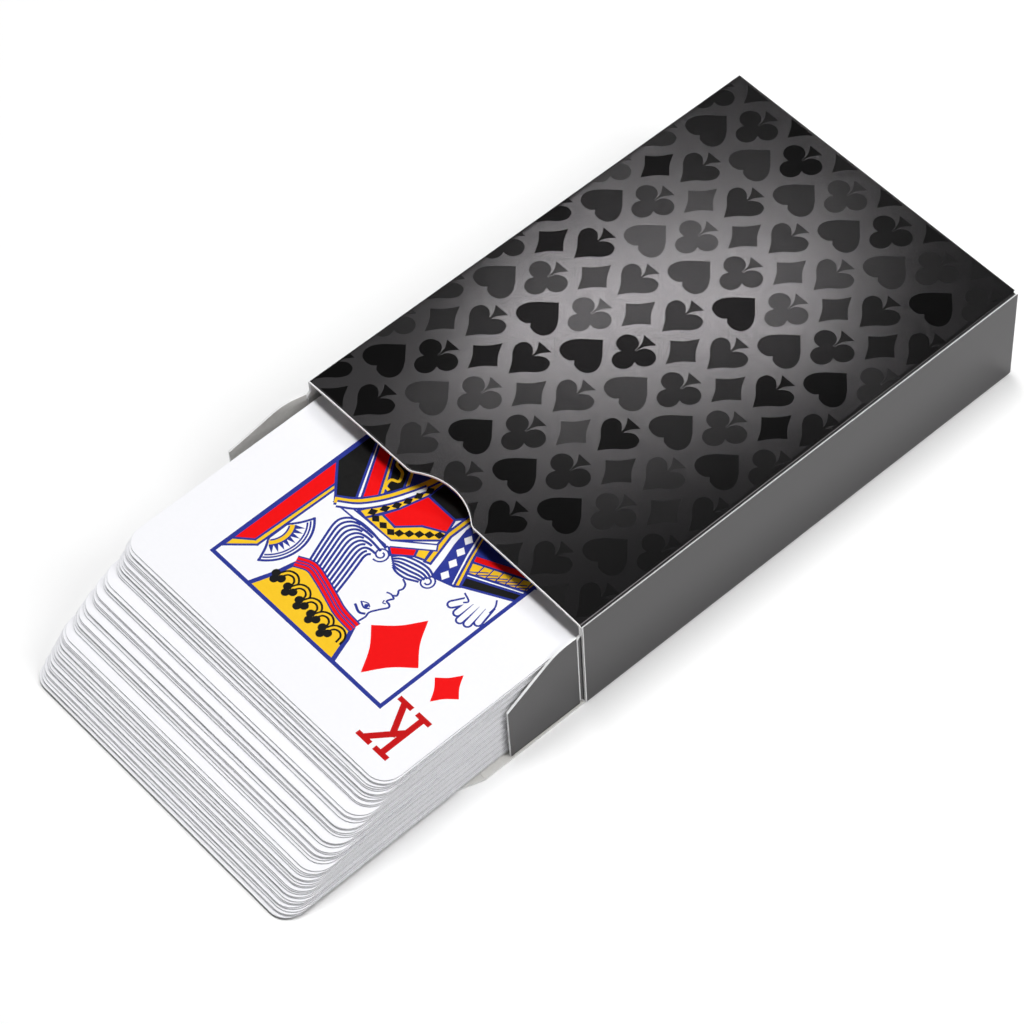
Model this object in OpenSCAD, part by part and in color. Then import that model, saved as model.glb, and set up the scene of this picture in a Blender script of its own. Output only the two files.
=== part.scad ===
// Deck of playing cards, slid part way out of its open tuck box.
// The box lies on its back. The origin is the centre of the box's underside,
// +Y runs to the closed end, and the cards leave through the mouth along -Y.

/* [Cards] */
// Width of a card
card_w = 63; // [57:0.5:66]
// Length of a card
card_l = 88; // [84:0.5:92]
// Thickness of a card
card_t = 0.30; // [0.24:0.01:0.36]
// Radius of a card's corners
card_corner_r = 3.5; // [2:0.25:6]
// Air between one card and the next
card_gap = 0.01; // [0.01:0.01:0.04]

/* [Fan] */
// How far the top card stands out of the mouth
top_pull = 39.6; // [25:0.5:45]
// How much further the bottom card stands out than the top card
fan_spread = 21; // [12:0.5:25]
// Sideways stray of the cards from the middle of the box
card_stray = 0.08; // [0:0.02:0.2]

/* [Box] */
// Thickness of the folded board
board_t = 0.4; // [0.3:0.05:0.6]
// Room beside the cards, on each side
side_play = 0.65; // [0.4:0.05:1.5]
// Room behind the cards when they are pushed home
end_play = 6.2; // [3:0.2:9]
// Room above the cards
head_room = 3.65; // [2:0.05:6]
// Rise of the front panel at the middle of the mouth
front_bow = 0.5; // [0:0.1:1]
// How far the side panels reach past the mouth to their creases
crease_reach = 0.8; // [0.4:0.1:1.5]

/* [Thumb notch] */
// Width of the thumb notch in the mouth's edge
notch_w = 14.6; // [10:0.2:22]
// Depth of the thumb notch
notch_depth = 2.7; // [1.5:0.1:4.5]
// Radius that rounds the notch's shoulders
notch_shoulder_r = 2; // [0.5:0.1:3]

/* [Flaps] */
// Length of a dust flap from its crease
flap_l = 14.4; // [11:0.2:20]
// Height of a dust flap's free edge
flap_tip_h = 12.7; // [9:0.1:15]
// Height that a dust flap stands below the front panel at its crease
flap_drop = 2.4; // [1:0.1:4]
// Distance from the crease to the corner where a dust flap starts to slope
flap_corner = 4; // [3:0.1:6]
// Radius that rounds that corner
flap_corner_r = 8; // [3:0.5:9]
// Angle that the left dust flap leans out
flap_splay = 14; // [0:1:30]
// Length of the tuck tongue from its crease
tongue_l = 14; // [10:0.5:20]
// How much the tuck tongue narrows on each side
tongue_taper = 2.4; // [0.5:0.1:5]
// Radius of the tuck tongue's corners
tongue_r = 7; // [3:0.5:9]
// Length of the glued flap inside the closed end
end_tuck_l = 12; // [8:0.5:16]
// Length of the folded flaps inside the closed end
end_flap_l = 18; // [10:0.5:25]

/* [Hidden] */
$fn = 64;
SUITS = ["spades", "hearts", "clubs", "diamonds"];
RANKS = ["ace", "two", "three", "four", "five", "six", "seven", "eight", "nine", "ten", "jack", "queen", "king"];
// The stack from its bottom card to its top card
CARDS = concat(["black_joker", "red_joker"], [for (suit = SUITS) for (rank = RANKS) str(rank, "_of_", suit)]);

board_black = [0.11, 0.11, 0.12];
card_white = [0.96, 0.96, 0.97];

// Gaps that keep folded and sliding pieces clear of each other
crease_gap = 0.05;
seat_gap = 0.02;
flap_gap = 0.15;
wall_gap = 0.05;
lap_step = 0.1;
fold_inset = 0.02;
over = 1;

// The box is sized by the cards that it holds: one board on the left, a lap of two on the right
card_count = len(CARDS);
stack_h = card_count * card_t + (card_count - 1) * card_gap;
box_w = card_w + 2 * side_play + 3 * board_t;
box_l = card_l + end_play + 2 * board_t;
box_h = 2 * board_t + seat_gap + stack_h + head_room;
left_x = -box_w / 2;
right_x = box_w / 2;
lap_x = right_x - board_t;
mouth_y = -box_l / 2;
end_y = box_l / 2;
channel_x = -board_t / 2;
crease_y = mouth_y - crease_reach - crease_gap;

// Steps of the fan that stand out, as [number of cards above it, depth of the step]
wide_steps = [[13, 1.8], [17, 1.1], [22, 1.0], [25, 0.7], [31, 1.6]];
wide_sum = sum([for (wide = wide_steps) wide[1]]);
fine_turn = 137;
fine_shares = [for (k = [1:card_count - 1]) 1 + sin(fine_turn * k)];
fine_step = (fan_spread - wide_sum) / sum(fine_shares);
card_steps = [for (k = [1:card_count - 1]) fine_step * fine_shares[k - 1] + wide_step(k)];

// The cards lie askew in the box as far as its side play lets them
turn_room = atan((side_play - card_stray - wall_gap) / (card_l / 2));
turn_least = 0.8;

// The notch is a round bite whose circle is set by its width and depth
notch_r = (notch_w * notch_w / 4 + notch_depth * notch_depth) / (2 * notch_depth);
notch_y = notch_depth - notch_r;
shoulder_x = sqrt(pow(notch_r + notch_shoulder_r, 2) - pow(notch_shoulder_r - notch_y, 2));

// Grid of the front panel, finer across the box than along it
bow_cols = 16;
bow_rows = 6;

flap_low = board_t + flap_gap;
flap_high = box_h - flap_drop;
lid_l = box_h - board_t;
lid_w = box_w - 2 * flap_gap;
lid_y = mouth_y - crease_gap;
tongue_y = lid_y - lid_l - crease_gap;
arc_steps = 10;

function sum(list) = len(list) == 0 ? 0 : list * [for (item = list) 1];

function wide_step(k) = sum([for (wide = wide_steps) if (wide[0] == k) wide[1]]);

// How far card k, counted down from the top, stands out of the mouth
function pull(k) = top_pull + (k == 0 ? 0 : sum([for (j = [0:k - 1]) card_steps[j]]));

function stray(k) = card_stray * sin(73 * k);

function turn(k) = turn_room * (turn_least + (1 - turn_least) * sin(59 * k));

function arc(centre, radius, from, to) = [
    for (i = [0:arc_steps])
        let (a = from + (to - from) * i / arc_steps)
        centre + radius * [cos(a), sin(a)]
];

function bow_at(u, v) = front_bow * (1 - pow(2 * u - 1, 4)) * pow(1 - v, 2);

module rounded_plate(size, radius, height) {
    linear_extrude(height) union() {
        square([size.x - 2 * radius, size.y], center = true);
        square([size.x, size.y - 2 * radius], center = true);
        for (x = [-1, 1], y = [-1, 1])
            translate([x * (size.x / 2 - radius), y * (size.y / 2 - radius)]) circle(radius);
    }
}

// A card of the stack, counted up from the bottom
module card(i) {
    k = card_count - 1 - i;
    color(card_white)
        translate([
            channel_x + stray(k),
            mouth_y - pull(k) + card_l / 2,
            board_t + seat_gap + i * (card_t + card_gap)
        ])
        rotate([0, 0, turn(k)])
        rounded_plate([card_w, card_l], card_corner_r, card_t);
}

// Front panel of the box, lifted a little at the middle of the mouth
module bowed_panel(from_x, to_x) {
    per_side = (bow_cols + 1) * (bow_rows + 1);
    function spot(side, col, row) = side * per_side + row * (bow_cols + 1) + col;
    corners = [
        for (side = [0, 1], row = [0:bow_rows], col = [0:bow_cols])
            let (u = col / bow_cols, v = row / bow_rows)
            [from_x + (to_x - from_x) * u, mouth_y + box_l * v, box_h + bow_at(u, v) - side * board_t]
    ];
    function pair(a, b, c, d) = [[a, b, c], [a, c, d]];
    skins = [
        for (row = [0:bow_rows - 1], col = [0:bow_cols - 1])
            each concat(
                pair(spot(0, col, row), spot(0, col, row + 1), spot(0, col + 1, row + 1), spot(0, col + 1, row)),
                pair(spot(1, col, row), spot(1, col + 1, row), spot(1, col + 1, row + 1), spot(1, col, row + 1))
            )
    ];
    ends = [
        for (col = [0:bow_cols - 1])
            each concat(
                pair(spot(0, col, 0), spot(0, col + 1, 0), spot(1, col + 1, 0), spot(1, col, 0)),
                pair(
                    spot(0, col + 1, bow_rows), spot(0, col, bow_rows),
                    spot(1, col, bow_rows), spot(1, col + 1, bow_rows)
                )
            )
    ];
    sides = [
        for (row = [0:bow_rows - 1])
            each concat(
                pair(spot(0, 0, row + 1), spot(0, 0, row), spot(1, 0, row), spot(1, 0, row + 1)),
                pair(
                    spot(0, bow_cols, row), spot(0, bow_cols, row + 1),
                    spot(1, bow_cols, row + 1), spot(1, bow_cols, row)
                )
            )
    ];
    polyhedron(corners, concat(skins, ends, sides));
}

// Plan of the thumb notch, with its shoulders eased into the straight edge
module notch_plan() {
    touch = [0, notch_y] + notch_r / (notch_r + notch_shoulder_r) * [shoulder_x, notch_shoulder_r - notch_y];
    translate([0, notch_y]) circle(notch_r);
    for (side = [0, 1]) mirror([side, 0]) difference() {
        polygon([[0, -over], [shoulder_x, -over], [shoulder_x, notch_shoulder_r], touch]);
        translate([shoulder_x, notch_shoulder_r]) circle(notch_shoulder_r);
    }
}

// A side panel of the box, which reaches past the mouth to the crease of its dust flap
module side_panel(x, depth) {
    translate([x, mouth_y, 0]) cube([board_t, depth, box_h - board_t / 2]);
    translate([x, mouth_y - crease_reach, flap_low])
        cube([board_t, depth + crease_reach, flap_high - flap_low]);
}

// Back, front and side panels, with the right side lapped and glued
module sleeve() {
    depth = end_y - board_t - mouth_y;
    color(board_black) union() {
        translate([left_x, mouth_y, 0]) cube([box_w - board_t, depth, board_t]);
        side_panel(left_x, depth);
        side_panel(lap_x - board_t, depth);
        translate([lap_x, mouth_y + lap_step, 0]) cube([board_t, box_l - 2 * lap_step, box_h - lap_step]);
        difference() {
            bowed_panel(left_x + fold_inset, lap_x + lap_step);
            translate([channel_x, mouth_y, box_h - over - board_t])
                linear_extrude(front_bow + board_t + 2 * over) notch_plan();
        }
    }
}

// Closed end: the end panel with its glued flap, over the two folded side flaps
module end_closure() {
    inner_y = end_y - board_t;
    inner_w = lap_x - left_x - 2 * board_t;
    color(board_black) union() {
        translate([left_x, inner_y, 0]) cube([box_w - board_t, board_t, box_h - board_t]);
        translate([left_x + board_t + flap_gap, inner_y - end_tuck_l, box_h - 2 * board_t])
            cube([inner_w - 2 * flap_gap, end_tuck_l, board_t]);
        for (x = [left_x + board_t, lap_x - board_t - end_flap_l])
            translate([x, inner_y - board_t, flap_low])
                cube([end_flap_l, board_t, box_h - 2 * board_t - flap_gap - flap_low]);
    }
}

// Outline of a dust flap: distance from the crease, then height
function flap_outline() =
    let (
        corner = [flap_corner, flap_high],
        tip = [flap_l, flap_tip_h],
        fall = atan2(corner.y - tip.y, tip.x - corner.x),
        radius = min(flap_corner_r, flap_corner / tan(fall / 2)),
        centre = [corner.x - radius * tan(fall / 2), corner.y - radius]
    )
    concat(
        [[0, flap_low], [flap_l, flap_low], tip],
        arc(centre, radius, 90 - fall, 90),
        [[0, flap_high]]
    );

// A dust flap hanging from a crease at the origin, with its outer face at x = 0
module dust_flap() {
    rotate([0, 0, -90]) rotate([90, 0, 0]) linear_extrude(board_t) polygon(flap_outline());
}

module left_dust_flap() {
    color(board_black)
        translate([left_x, crease_y, 0])
        rotate([0, 0, -flap_splay])
        mirror([1, 0, 0])
        dust_flap();
}

module right_dust_flap() {
    color(board_black) translate([lap_x, crease_y, 0]) dust_flap();
}

// Lid, opened flat in line with the back panel, under the cards
module lid_panel() {
    color(board_black) translate([-lid_w / 2, lid_y - lid_l, 0]) cube([lid_w, lid_l, board_t]);
}

// Tongue that tucks the lid into the mouth, tapered and round at its corners
module tuck_tongue() {
    half = lid_w / 2;
    end_x = half - tongue_taper - tongue_r;
    end_l = tongue_r - tongue_l;
    color(board_black)
        translate([0, tongue_y, 0])
        linear_extrude(board_t)
        polygon(concat(
            [[half, 0], [-half, 0]],
            arc([-end_x, end_l], tongue_r, 180, 270),
            arc([end_x, end_l], tongue_r, 270, 360)
        ));
}

sleeve();
end_closure();
left_dust_flap();
right_dust_flap();
lid_panel();
tuck_tongue();
for (i = [0:card_count - 1])
    card(i);
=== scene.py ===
import math

import bmesh
import bpy
from mathutils import Matrix, Vector
from mathutils.geometry import delaunay_2d_cdt


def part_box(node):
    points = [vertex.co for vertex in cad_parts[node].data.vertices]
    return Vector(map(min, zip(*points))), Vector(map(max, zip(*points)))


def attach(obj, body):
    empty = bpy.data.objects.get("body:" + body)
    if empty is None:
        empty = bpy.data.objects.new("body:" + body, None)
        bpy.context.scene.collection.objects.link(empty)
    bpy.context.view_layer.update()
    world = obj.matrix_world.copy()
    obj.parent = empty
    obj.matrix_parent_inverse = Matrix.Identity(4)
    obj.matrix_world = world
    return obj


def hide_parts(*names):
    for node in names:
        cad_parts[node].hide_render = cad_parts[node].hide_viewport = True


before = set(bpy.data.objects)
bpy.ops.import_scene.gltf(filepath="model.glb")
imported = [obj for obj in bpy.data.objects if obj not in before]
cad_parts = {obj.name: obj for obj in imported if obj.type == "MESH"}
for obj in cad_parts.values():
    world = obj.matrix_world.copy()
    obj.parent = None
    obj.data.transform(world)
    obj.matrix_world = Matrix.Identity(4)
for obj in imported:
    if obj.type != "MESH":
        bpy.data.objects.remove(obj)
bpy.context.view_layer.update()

# The sleeve of the tuck box is one strip of white board, printed black outside under a matt film.
# It is creased into a lap, a front, a left, a back and an outer right panel, and the outer panel is
# glued over the lap. Each cut edge shows the board's white core.
MM = 0.001
board_t = 0.4
crease_reach = 0.8
crease_r = 0.45
front_bow = 0.48
lap_step = 0.1
notch_w = 14.6
notch_depth = 2.7
notch_shoulder_r = 2
lap, front, left, back, outer = range(5)
grain_layers = 3
gloss_spread = 0.04


def place_of(node):
    """Lowest and highest corner of a solid, in millimetres."""
    low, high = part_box(node)
    return low / MM, high / MM


sleeve_low, sleeve_high = place_of("sleeve")
left_x = sleeve_low.x
right_x = sleeve_high.x
lap_x = right_x - board_t
channel_x = (left_x + lap_x) / 2
mouth_y = sleeve_low.y + crease_reach
end_y = sleeve_high.y
box_l = end_y - mouth_y
box_h = place_of("end_closure")[1].z + board_t
flap_low = place_of("right_dust_flap")[0].z
flap_high = place_of("right_dust_flap")[1].z


def grained(name, dark, light, roughness, grain, relief, specular=0.5):
    """A finish that wanders between two shades over a fine grain, with the grain in slight relief."""
    material = bpy.data.materials.new(name)
    material.use_nodes = True
    nodes = material.node_tree.nodes
    links = material.node_tree.links
    skin = nodes["Principled BSDF"]
    skin.inputs["Specular IOR Level"].default_value = specular
    place = nodes.new("ShaderNodeTexCoord")
    noise = nodes.new("ShaderNodeTexNoise")
    noise.inputs["Scale"].default_value = 1 / (grain * MM)
    noise.inputs["Detail"].default_value = grain_layers
    links.new(place.outputs["Object"], noise.inputs["Vector"])
    shade = nodes.new("ShaderNodeMix")
    shade.data_type = "RGBA"
    shade.inputs["A"].default_value = (*dark, 1)
    shade.inputs["B"].default_value = (*light, 1)
    links.new(noise.outputs["Fac"], shade.inputs["Factor"])
    links.new(shade.outputs["Result"], skin.inputs["Base Color"])
    gloss = nodes.new("ShaderNodeMapRange")
    gloss.inputs["To Min"].default_value = roughness - gloss_spread
    gloss.inputs["To Max"].default_value = roughness + gloss_spread
    links.new(noise.outputs["Fac"], gloss.inputs["Value"])
    links.new(gloss.outputs["Result"], skin.inputs["Roughness"])
    bump = nodes.new("ShaderNodeBump")
    bump.inputs["Distance"].default_value = relief * MM
    links.new(noise.outputs["Fac"], bump.inputs["Height"])
    links.new(bump.outputs["Normal"], skin.inputs["Normal"])
    return material


film_tint = (1, 0.95, 0.98, 1)
film_roughness = 0.15
film_grain = 0.25
film_relief = 0.006
film_shades = ((0.004, 0.004, 0.0044), (0.009, 0.0088, 0.009))
board_film = grained("matt_black_film", *film_shades, film_roughness, film_grain, film_relief)
board_film.node_tree.nodes["Principled BSDF"].inputs["Specular Tint"].default_value = film_tint
board_inside = grained(
    "bare_board", (0.66, 0.65, 0.62), (0.78, 0.77, 0.74),
    roughness=0.85, grain=0.5, relief=0.02, specular=0.2,
)
board_edge = grained(
    "cut_board_core", (0.84, 0.84, 0.84), (0.95, 0.95, 0.95),
    roughness=0.9, grain=0.6, relief=0.01, specular=0.2,
)
board_finishes = [board_film, board_inside, board_edge]
raw_core = board_finishes.index(board_edge)


def make_piece(name, points, faces, finishes, materials, crisp=40):
    """A mesh from points in millimetres, with a finish for each face and crisp edges past an angle."""
    mesh = bpy.data.meshes.new(name)
    mesh.from_pydata([Vector(point) * MM for point in points], [], faces)
    for material in materials:
        mesh.materials.append(material)
    mesh.polygons.foreach_set("material_index", finishes)
    shell = bmesh.new()
    shell.from_mesh(mesh)
    bmesh.ops.recalc_face_normals(shell, faces=shell.faces)
    shell.to_mesh(mesh)
    shell.free()
    mesh.shade_smooth()
    mesh.set_sharp_from_angle(angle=math.radians(crisp))
    piece = bpy.data.objects.new(name, mesh)
    bpy.context.scene.collection.objects.link(piece)
    return piece


def board_sheet(name, printed, bare, worn=0):
    """A board from two matching grids, printed outside and bare inside, raw at its rim and worn rows."""
    columns = len(printed)
    rows = len(printed[0])

    def spot(side, column, row):
        return (side * columns + column) * rows + row

    faces = []
    finishes = []
    for side in (0, 1):
        for c in range(columns - 1):
            for r in range(rows - 1):
                corners = ((c, r), (c + 1, r), (c + 1, r + 1), (c, r + 1))
                faces.append([spot(side, *corner) for corner in corners])
                finishes.append(raw_core if r < worn else side)
    rim = [(c, 0) for c in range(columns)]
    rim += [(columns - 1, r) for r in range(1, rows)]
    rim += [(c, rows - 1) for c in reversed(range(columns - 1))]
    rim += [(0, r) for r in reversed(range(1, rows - 1))]
    for here, there in zip(rim, rim[1:] + rim[:1]):
        faces.append([spot(0, *here), spot(0, *there), spot(1, *there), spot(1, *here)])
        finishes.append(raw_core)
    points = [point for side in (printed, bare) for column in side for point in column]
    return make_piece(name, points, faces, finishes, board_finishes)


def creased_path(corners, radius, spacing):
    """Stops along a strip that turns left at each corner: places, outward directions and runs."""
    stops = []
    last_run = len(corners) - 2
    bend_steps = 6
    for run in range(last_run + 1):
        start = Vector(corners[run])
        end = Vector(corners[run + 1])
        along = (end - start).normalized()
        outward = Vector((along.y, -along.x))
        first = start + along * (radius if run > 0 else 0)
        last = end - along * (radius if run < last_run else 0)
        count = math.ceil((last - first).length / spacing)
        stops += [(first.lerp(last, k / count), outward, run) for k in range(count + 1)]
        if run < last_run:
            hub = last - outward * radius
            for k in range(1, bend_steps):
                turned = Matrix.Rotation(math.radians(90) * k / bend_steps, 2) @ outward
                stops.append((hub + turned * radius, turned, run))
    return stops


def notch_bite(x):
    """How deep the thumb notch bites into the mouth's edge at a distance from its middle."""
    bite_r = (notch_w ** 2 / 4 + notch_depth ** 2) / (2 * notch_depth)
    bite_y = notch_depth - bite_r
    shoulder_x = math.sqrt((bite_r + notch_shoulder_r) ** 2 - (notch_shoulder_r - bite_y) ** 2)
    across = abs(x)
    if across < shoulder_x * bite_r / (bite_r + notch_shoulder_r):
        return bite_y + math.sqrt(bite_r ** 2 - across ** 2)
    if across < shoulder_x:
        return notch_shoulder_r - math.sqrt(notch_shoulder_r ** 2 - (shoulder_x - across) ** 2)
    return 0


def ease(share):
    """A smooth step from 0 to 1."""
    share = min(max(share, 0), 1)
    return share * share * (3 - 2 * share)


def mouth_edge(run, x, z):
    """Where a panel of the sleeve ends at the mouth."""
    if run == front:
        return mouth_y + notch_bite(x - channel_x)
    if run in (lap, left):
        below_top = ease((flap_high - z) / crease_reach)
        above_foot = ease((z - flap_low) / crease_reach)
        return mouth_y - crease_reach * below_top * above_foot
    return mouth_y + lap_step if run == outer else mouth_y


def front_rise(x, y):
    """How far the front panel bows up, most at the middle of the mouth."""
    across = 2 * (x - left_x) / (lap_x - left_x) - 1
    return front_bow * (1 - across ** 4) * (1 - (y - mouth_y) / box_l) ** 2


end_seam_y = end_y - board_t - lap_step
sleeve_ends = {front: end_y, outer: end_y - lap_step, back: end_seam_y}
sleeve_rows = 24
sleeve_spacing = 0.5
row_crowding = 1.5
worn_rows = 1
worn_edge = 0.16
seam_slant = 0.35
sleeve_outside = []
sleeve_inside = []
sleeve_corners = [
    (lap_x, board_t), (lap_x, box_h), (left_x, box_h),
    (left_x, 0), (right_x, 0), (right_x, box_h - lap_step),
]
for spot, outward, run in creased_path(sleeve_corners, crease_r, sleeve_spacing):
    near = mouth_edge(run, spot.x, spot.y)
    far = sleeve_ends.get(run, end_y - board_t)
    outside = []
    inside = []
    clean = near + worn_edge
    run_back = [clean + (far - clean) * (k / sleeve_rows) ** row_crowding for k in range(sleeve_rows + 1)]
    for y in [near] + run_back:
        rise = front_rise(spot.x, y) if run == front else 0
        skin = spot + Vector((0, rise))
        core = skin - outward * board_t
        outside.append((skin.x, y, skin.y))
        inside.append((core.x, y, core.y))
    sleeve_outside.append(outside)
    sleeve_inside.append(inside)
sleeve_inside[-1] = [(x, y, z - seam_slant) for x, y, z in sleeve_inside[-1]]
sleeve = board_sheet("folded_sleeve", sleeve_outside, sleeve_inside, worn_rows)
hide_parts("sleeve")
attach(sleeve, "box")

# The closed end is folded from the same sheet of board. Its end panel turns up from the back panel.
# Its flap turns in under the front panel and is glued there, over two side flaps that are folded in
# from the side panels.
end_tuck_l = 12
end_flap_l = 18
flap_gap = 0.15
end_columns = 12
end_spacing = 1
end_top = box_h - board_t
end_corners = [(end_seam_y, 0), (end_y, 0), (end_y, end_top), (end_y - board_t - end_tuck_l, end_top)]
end_outside = []
end_inside = []
for spot, outward, run in creased_path(end_corners, crease_r, end_spacing):
    inset = (board_t + flap_gap) * ease((end_y - crease_r - spot.x) / crease_r) if run == 2 else 0
    first_x = left_x + inset
    last_x = lap_x - inset
    core = spot - outward * board_t
    across = [first_x + (last_x - first_x) * k / end_columns for k in range(end_columns + 1)]
    end_outside.append([(x, spot.x, spot.y) for x in across])
    end_inside.append([(x, core.x, core.y) for x in across])
end_closure = board_sheet("folded_end", end_outside, end_inside)
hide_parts("end_closure")
end_flap_rows = (flap_low, end_top - board_t - flap_gap)
for side, root_x in (("left", left_x + board_t), ("right", lap_x - board_t - end_flap_l)):
    flap_xs = [root_x + end_flap_l * k / end_columns for k in range(end_columns + 1)]
    flap_skin = [[(x, end_y - board_t, z) for z in end_flap_rows] for x in flap_xs]
    flap_bare = [[(x, end_y - 2 * board_t, z) for z in end_flap_rows] for x in flap_xs]
    end_flap = board_sheet("end_side_flap_" + side, flap_skin, flap_bare)
    end_flap.parent = end_closure
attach(end_closure, "box")

# The two dust flaps are the ends of the side panels, die cut from the same board with a sloping top edge.
# Each hangs on its crease at the mouth: the right one stands straight, and the left one has sprung out.
flap_l = 14.4
flap_tip_h = 12.7
flap_corner = 4
flap_corner_r = 8
flap_columns = 24
flap_rows = 8
left_splay = 14
right_splay = 0
crease_y = place_of("right_dust_flap")[1].y


def flap_top(reach):
    """Height of a dust flap's top edge at a distance from its crease."""
    fall = math.atan2(flap_high - flap_tip_h, flap_l - flap_corner)
    bend_start = flap_corner - flap_corner_r * math.tan(fall / 2)
    if reach < bend_start:
        return flap_high
    if reach < bend_start + flap_corner_r * math.sin(fall):
        return flap_high - flap_corner_r + math.sqrt(flap_corner_r ** 2 - (reach - bend_start) ** 2)
    return flap_high - (reach - flap_corner) * math.tan(fall)


def dust_flap(node, crease_x, side, splay):
    """A dust flap on the left (-1) or right (1) side of the mouth, turned out by an angle in degrees."""
    lean = math.radians(splay)
    along = Vector((side * math.sin(lean), -math.cos(lean), 0))
    outward = Vector((side * math.cos(lean), math.sin(lean), 0))
    skin = []
    for column in range(flap_columns + 1):
        reach = flap_l * column / flap_columns
        top = flap_top(reach)
        root = Vector((crease_x, crease_y, 0)) + along * reach
        heights = [flap_low + (top - flap_low) * row / flap_rows for row in range(flap_rows + 1)]
        skin.append([root + Vector((0, 0, z)) for z in heights])
    bare = [[point - outward * board_t for point in column] for column in skin]
    flap = board_sheet("folded_" + node, skin, bare)
    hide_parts(node)
    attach(flap, node)


dust_flap("left_dust_flap", left_x, -1, left_splay)
dust_flap("right_dust_flap", lap_x, 1, right_splay)

# The lid is board creased to the back panel, and lies opened flat under the cards with its bare side up.
# The tongue that tucks it into the mouth is creased to its free edge, and tapers to round corners.
tongue_taper = 2.4
tongue_r = 7
lid_columns = 20
lid_rows = 16


def lying_sheet(node, half_width):
    """A sheet that lies flat, bare side up, whose half width depends on the distance from its crease."""
    low, high = place_of(node)
    skin = []
    for row in range(lid_rows + 1):
        reach = (high.y - low.y) * math.sin(math.radians(90) * row / lid_rows)
        half = half_width(reach)
        across = [half * (2 * k / lid_columns - 1) for k in range(lid_columns + 1)]
        skin.append([Vector((x, high.y - reach, 0)) for x in across])
    bare = [[point + Vector((0, 0, board_t)) for point in row] for row in skin]
    sheet = board_sheet("folded_" + node, skin, bare)
    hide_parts(node)
    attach(sheet, node)


lid_half = place_of("lid_panel")[1].x
tongue_straight = place_of("tuck_tongue")[1].y - place_of("tuck_tongue")[0].y - tongue_r


def tongue_half(reach):
    """Half the tongue's width at a distance from its crease."""
    if reach < tongue_straight:
        return lid_half - tongue_taper * reach / tongue_straight
    into_corner = reach - tongue_straight
    return lid_half - tongue_taper - tongue_r + math.sqrt(max(tongue_r ** 2 - into_corner ** 2, 0))


lying_sheet("lid_panel", lambda reach: lid_half)
lying_sheet("tuck_tongue", tongue_half)

# The suit signs on the front panel are spot printed in varnish over the film, each in one of four tones.
# They stand in slanting rows of heart, club, diamond and spade, and run off the panel's edges.
film_t = 0.012
film_sunk = 0.02
sign_step = Vector((5.28, 5.915))
sign_drop = Vector((0, -11.83))
sign_start = Vector((4.29, 11.91))
sign_reach = 14
sign_order = ["hearts", "clubs", "diamonds", "spades"]
sign_sizes = {"hearts": 7, "clubs": 7.75, "diamonds": 7.45, "spades": 7.9}
sign_lifts = {"hearts": 0.6, "clubs": -0.2, "diamonds": 0, "spades": -1.65}


def arc(centre, radius, start, end, count=12):
    """Points along an arc, from one angle to another in degrees."""
    turns = [math.radians(start + (end - start) * k / count) for k in range(count + 1)]
    return [Vector((centre[0] + radius * math.cos(t), centre[1] + radius * math.sin(t))) for t in turns]


def disc(centre, radius, count=24):
    """Outline of a round spot."""
    return arc(centre, radius, 0, 360 - 360 / count, count - 1)


def flowing(points, steps=5):
    """A smooth curve through given points."""
    spots = [Vector(point) for point in points]
    spots = [spots[0] * 2 - spots[1]] + spots + [spots[-1] * 2 - spots[-2]]
    curve = []
    for p, q, r, s in zip(spots, spots[1:], spots[2:], spots[3:]):
        for k in range(steps):
            t = k / steps
            bend = (2 * p - 5 * q + 4 * r - s) * t ** 2 + (3 * q - p - 3 * r + s) * t ** 3
            curve.append(q + ((r - p) * t + bend) / 2)
    return curve + [spots[-2]]


def both_sides(half):
    """A closed outline from its right half, which runs from one point on the middle line to another."""
    return half + [Vector((-p.x, p.y)) for p in reversed(half[1:-1])]


def sign_parts(suit):
    """Outlines that make up a suit's sign, one unit high and upright."""
    stem = both_sides(flowing([(0, -0.05), (0.05, -0.3), (0.19, -0.5)]) + [Vector((0, -0.5))])
    if suit == "diamonds":
        upper = flowing([(0, 0.5), (0.176, 0.222), (0.4, 0)])
        return [both_sides(upper + [Vector((p.x, -p.y)) for p in reversed(upper[:-1])])]
    if suit == "hearts":
        lobe = flowing([
            (0, 0.38), (0.1, 0.475), (0.28, 0.5), (0.46, 0.43), (0.55, 0.26), (0.51, 0.05), (0.36, -0.16),
        ])
        return [both_sides(lobe + [Vector((0, -0.5))])]
    if suit == "spades":
        blade = flowing([
            (0, 0.5), (0.17, 0.26), (0.37, 0.06), (0.45, -0.12),
            (0.38, -0.29), (0.21, -0.32), (0.08, -0.24), (0, -0.14),
        ])
        return [both_sides(blade), stem]
    leaves = [disc(centre, 0.238) for centre in ((0, 0.262), (-0.26, -0.1), (0.26, -0.1))]
    return leaves + [disc((0, 0), 0.09), stem]


def set_sign(suit, centre, size, upright=1):
    """A suit's sign at a place and size, upright (1) or upside down (-1)."""
    return [[Vector(centre) + part * size * upright for part in outline] for outline in sign_parts(suit)]


def cut_flat(outlines):
    """Cuts a plane along closed outlines into points and triangles, each with its own outlines."""
    points = []
    loops = []
    for outline in outlines:
        turn = sum(p.x * q.y - q.x * p.y for p, q in zip(outline, outline[1:] + outline[:1]))
        loops.append(list(range(len(points), len(points) + len(outline))))
        points += outline if turn > 0 else outline[::-1]
    spots, _, triangles, sources, _, owners = delaunay_2d_cdt(points, [], loops, 1, 1e-6)
    return spots, triangles, sources, owners


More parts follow.
